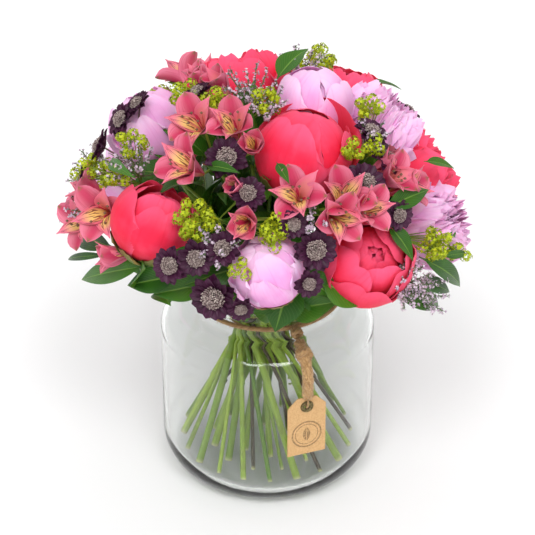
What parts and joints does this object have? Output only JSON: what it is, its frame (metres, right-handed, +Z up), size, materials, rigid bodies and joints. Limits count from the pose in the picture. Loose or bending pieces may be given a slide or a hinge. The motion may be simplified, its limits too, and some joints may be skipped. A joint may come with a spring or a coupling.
{
  "type": "peonies in a vase",
  "caption": "Hand-tied bouquet of peonies and small mixed flowers standing in a clear round glass jar vase, with a paper tag on a jute string.",
  "frame": {"origin": "the middle of the vase's foot, on the surface that it stands on", "axes": "+Z up along the vase's axis, -Y towards the front, where the tag hangs, +X to the right seen from the front"},
  "size_m": [0.3363, 0.3281, 0.3953],
  "materials": {
    "clear_glass": "gloss",
    "jute": "matte",
    "kraft_card": "matte",
    "antique_brass": "satin",
    "green_stem": "satin",
    "coral_petal": "matte",
    "pink_petal": "matte",
    "alstroemeria_petal": "matte",
    "astrantia_bract": "matte",
    "lime_floret": "matte",
    "lilac_floret": "matte",
    "leaf": "satin"
  },
  "bodies": {
    "root": {"vase": "clear_glass", "neck_twine": "jute", "twine_knot": "jute", "tag_cord": "jute", "tag": "kraft_card", "tag_eyelet": "antique_brass", "stem_tie": "jute", "coral_peony_1_stem": "green_stem", "coral_peony_1_bloom": "coral_petal", "coral_peony_2_stem": "green_stem", "coral_peony_2_bloom": "coral_petal", "coral_peony_3_stem": "green_stem", "coral_peony_3_bloom": "coral_petal", "coral_peony_4_stem": "green_stem", "coral_peony_4_bloom": "coral_petal", "coral_peony_5_stem": "green_stem", "coral_peony_5_bloom": "coral_petal", "coral_peony_6_stem": "green_stem", "coral_peony_6_bloom": "coral_petal", "coral_peony_7_stem": "green_stem", "coral_peony_7_bloom": "coral_petal", "pink_peony_1_stem": "green_stem", "pink_peony_1_bloom": "pink_petal", "pink_peony_2_stem": "green_stem", "pink_peony_2_bloom": "pink_petal", "pink_peony_3_stem": "green_stem", "pink_peony_3_bloom": "pink_petal", "pink_peony_4_stem": "green_stem", "pink_peony_4_bloom": "pink_petal", "pink_peony_5_stem": "green_stem", "pink_peony_5_bloom": "pink_petal", "pink_peony_6_stem": "green_stem", "pink_peony_6_bloom": "pink_petal", "pink_peony_7_stem": "green_stem", "pink_peony_7_bloom": "pink_petal", "alstroemeria_1": "alstroemeria_petal", "alstroemeria_2": "alstroemeria_petal", "alstroemeria_3": "alstroemeria_petal", "alstroemeria_4": "alstroemeria_petal", "alstroemeria_5": "alstroemeria_petal", "alstroemeria_6": "alstroemeria_petal", "astrantia_1": "astrantia_bract", "astrantia_2": "astrantia_bract", "astrantia_3": "astrantia_bract", "astrantia_4": "astrantia_bract", "astrantia_5": "astrantia_bract", "astrantia_6": "astrantia_bract", "alchemilla_1": "lime_floret", "alchemilla_2": "lime_floret", "alchemilla_3": "lime_floret", "alchemilla_4": "lime_floret", "alchemilla_5": "lime_floret", "limonium_1": "lilac_floret", "limonium_2": "lilac_floret", "limonium_3": "lilac_floret", "foliage_1": "leaf", "foliage_2": "leaf", "foliage_3": "leaf", "foliage_4": "leaf", "foliage_5": "leaf"}
  },
  "joints": []
}
